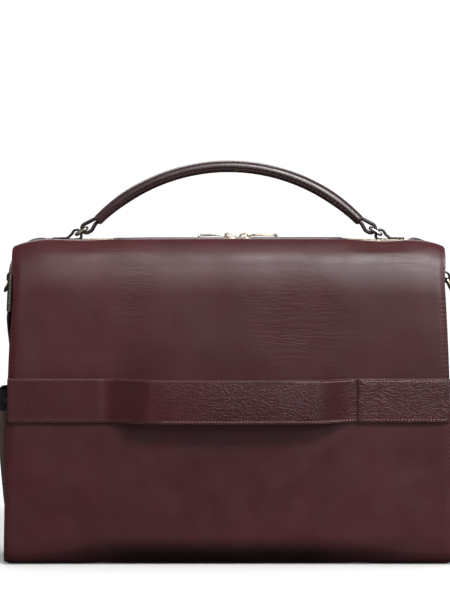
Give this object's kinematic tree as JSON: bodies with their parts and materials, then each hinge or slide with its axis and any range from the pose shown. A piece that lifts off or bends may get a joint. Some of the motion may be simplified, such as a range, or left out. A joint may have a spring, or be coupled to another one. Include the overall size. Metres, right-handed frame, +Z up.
{
  "type": "leather briefcase",
  "caption": "Soft leather briefcase with zipped compartments, arched top handle on rings, side strap rings, bottle pocket and a trolley strap across the back.",
  "frame": {"origin": "centre of the base's underside, on the surface that the briefcase stands on", "axes": "+Z up; the back with the trolley strap faces -Y and the front faces +Y; +X to the right when the back is seen, so the bottle pocket is on -X"},
  "size_m": [0.4207, 0.1434, 0.3674],
  "materials": {
    "leather": "smooth oxblood leather, softly glossy",
    "hardware": "pale gold plating, polished",
    "zip_metal": "pale metal, satin",
    "zip_tape": "woven dark brown tape",
    "elastic": "black elastic webbing",
    "lining": "woven brown lining",
    "foam": "cloth-covered foam",
    "board": "stiffening board",
    "cord": "cotton cord"
  },
  "bodies": {
    "bag": {"rear_panel": "leather", "front_panel": "leather", "rear_side_strip_left": "leather", "rear_side_strip_right": "leather", "front_side_strip_left": "leather", "front_side_strip_right": "leather", "side_gusset_left": "leather", "side_gusset_right": "leather", "top_gusset": "leather", "base_panel": "leather", "rear_zip_tapes": "zip_tape", "rear_zip_teeth": "zip_metal", "rear_zip_stops": "zip_metal", "front_zip_tapes": "zip_tape", "front_zip_teeth": "zip_metal", "front_zip_stops": "zip_metal", "handle_chape_left": "leather", "handle_chape_right": "leather", "chape_rivets": "hardware", "trolley_strap": "leather", "trolley_patch_left": "leather", "trolley_patch_right": "leather", "d_ring_tab_left": "leather", "d_ring_tab_right": "leather", "d_ring_rivets": "hardware", "bottle_pocket": "leather", "bottle_pocket_collar": "elastic", "bottle_pocket_snap": "hardware", "front_pocket": "leather", "front_pocket_tapes": "zip_tape", "front_pocket_teeth": "zip_metal", "base_board": "board", "rear_padding": "foam", "rear_lining": "lining", "front_padding": "foam", "front_lining": "lining", "centre_divider": "lining", "laptop_sleeve": "foam", "laptop_tab": "elastic", "organiser_pocket": "lining", "pen_loops": "elastic"},
    "handle": {"handle_grip": "leather", "handle_core": "cord", "handle_loop_left": "leather", "handle_loop_right": "leather"},
    "ring_left": {"handle_ring_left": "hardware"},
    "ring_right": {"handle_ring_right": "hardware"},
    "strap_ring_left": {"d_ring_left": "hardware"},
    "strap_ring_right": {"d_ring_right": "hardware"},
    "rear_slider_left": {"rear_slider_left": "hardware"},
    "rear_slider_right": {"rear_slider_right": "hardware"},
    "front_slider_left": {"front_slider_left": "hardware"},
    "front_slider_right": {"front_slider_right": "hardware"},
    "front_pocket_slider": {"front_pocket_slider": "hardware"},
    "rear_puller_left": {"rear_puller_left": "hardware"},
    "rear_puller_right": {"rear_puller_right": "hardware"},
    "front_puller_left": {"front_puller_left": "hardware"},
    "front_puller_right": {"front_puller_right": "hardware"},
    "front_pocket_puller": {"front_pocket_puller": "hardware"}
  },
  "joints": [
    {"name": "handle_fold", "type": "hinge", "parent": "bag", "child": "handle", "pos_m": [0, 0, 0.2997], "axis": [1, 0, 0], "range_deg": [-42, 42], "deforming": ["handle_chape_left", "handle_chape_right"]},
    {"name": "ring_left_swing", "type": "hinge", "parent": "handle", "child": "ring_left", "pos_m": [-0.1312, 0, 0.3052], "axis": [0, -1, 0], "range_deg": [-6, 6]},
    {"name": "ring_right_swing", "type": "hinge", "parent": "handle", "child": "ring_right", "pos_m": [0.1312, 0, 0.3052], "axis": [0, 1, 0], "range_deg": [-6, 6]},
    {"name": "strap_ring_left_swing", "type": "hinge", "parent": "bag", "child": "strap_ring_left", "pos_m": [-0.2012, 0, 0.2585], "axis": [0, 1, 0], "range_deg": [-35, 120]},
    {"name": "strap_ring_right_swing", "type": "hinge", "parent": "bag", "child": "strap_ring_right", "pos_m": [0.2012, 0, 0.2585], "axis": [0, -1, 0], "range_deg": [-35, 120]},
    {"name": "rear_slider_left_travel", "type": "slide", "parent": "bag", "child": "rear_slider_left", "axis": [-1, 0, 0], "range_m": [0, 0.1548]},
    {"name": "rear_puller_left_lift", "type": "hinge", "parent": "rear_slider_left", "child": "rear_puller_left", "pos_m": [-0.0016, -0.021, 0.2988], "axis": [0, 1, 0], "range_deg": [0, 110]},
    {"name": "rear_slider_right_travel", "type": "slide", "parent": "bag", "child": "rear_slider_right", "axis": [1, 0, 0], "range_m": [0, 0.1382]},
    {"name": "rear_puller_right_lift", "type": "hinge", "parent": "rear_slider_right", "child": "rear_puller_right", "pos_m": [0.0182, -0.021, 0.2988], "axis": [0, -1, 0], "range_deg": [0, 110]},
    {"name": "front_slider_left_travel", "type": "slide", "parent": "bag", "child": "front_slider_left", "axis": [-1, 0, 0], "range_m": [0, 0.1548]},
    {"name": "front_puller_left_lift", "type": "hinge", "parent": "front_slider_left", "child": "front_puller_left", "pos_m": [-0.0016, 0.021, 0.2988], "axis": [0, 1, 0], "range_deg": [0, 110]},
    {"name": "front_slider_right_travel", "type": "slide", "parent": "bag", "child": "front_slider_right", "axis": [1, 0, 0], "range_m": [0, 0.1382]},
    {"name": "front_puller_right_lift", "type": "hinge", "parent": "front_slider_right", "child": "front_puller_right", "pos_m": [0.0182, 0.021, 0.2988], "axis": [0, -1, 0], "range_deg": [0, 110]},
    {"name": "front_pocket_slider_travel", "type": "slide", "parent": "bag", "child": "front_pocket_slider", "axis": [-1, 0, 0], "range_m": [0, 0.245]},
    {"name": "front_pocket_puller_lift", "type": "hinge", "parent": "front_pocket_slider", "child": "front_pocket_puller", "pos_m": [0.1221, 0.0577, 0.1988], "axis": [0, 1, 0], "range_deg": [0, 110]}
  ]
}
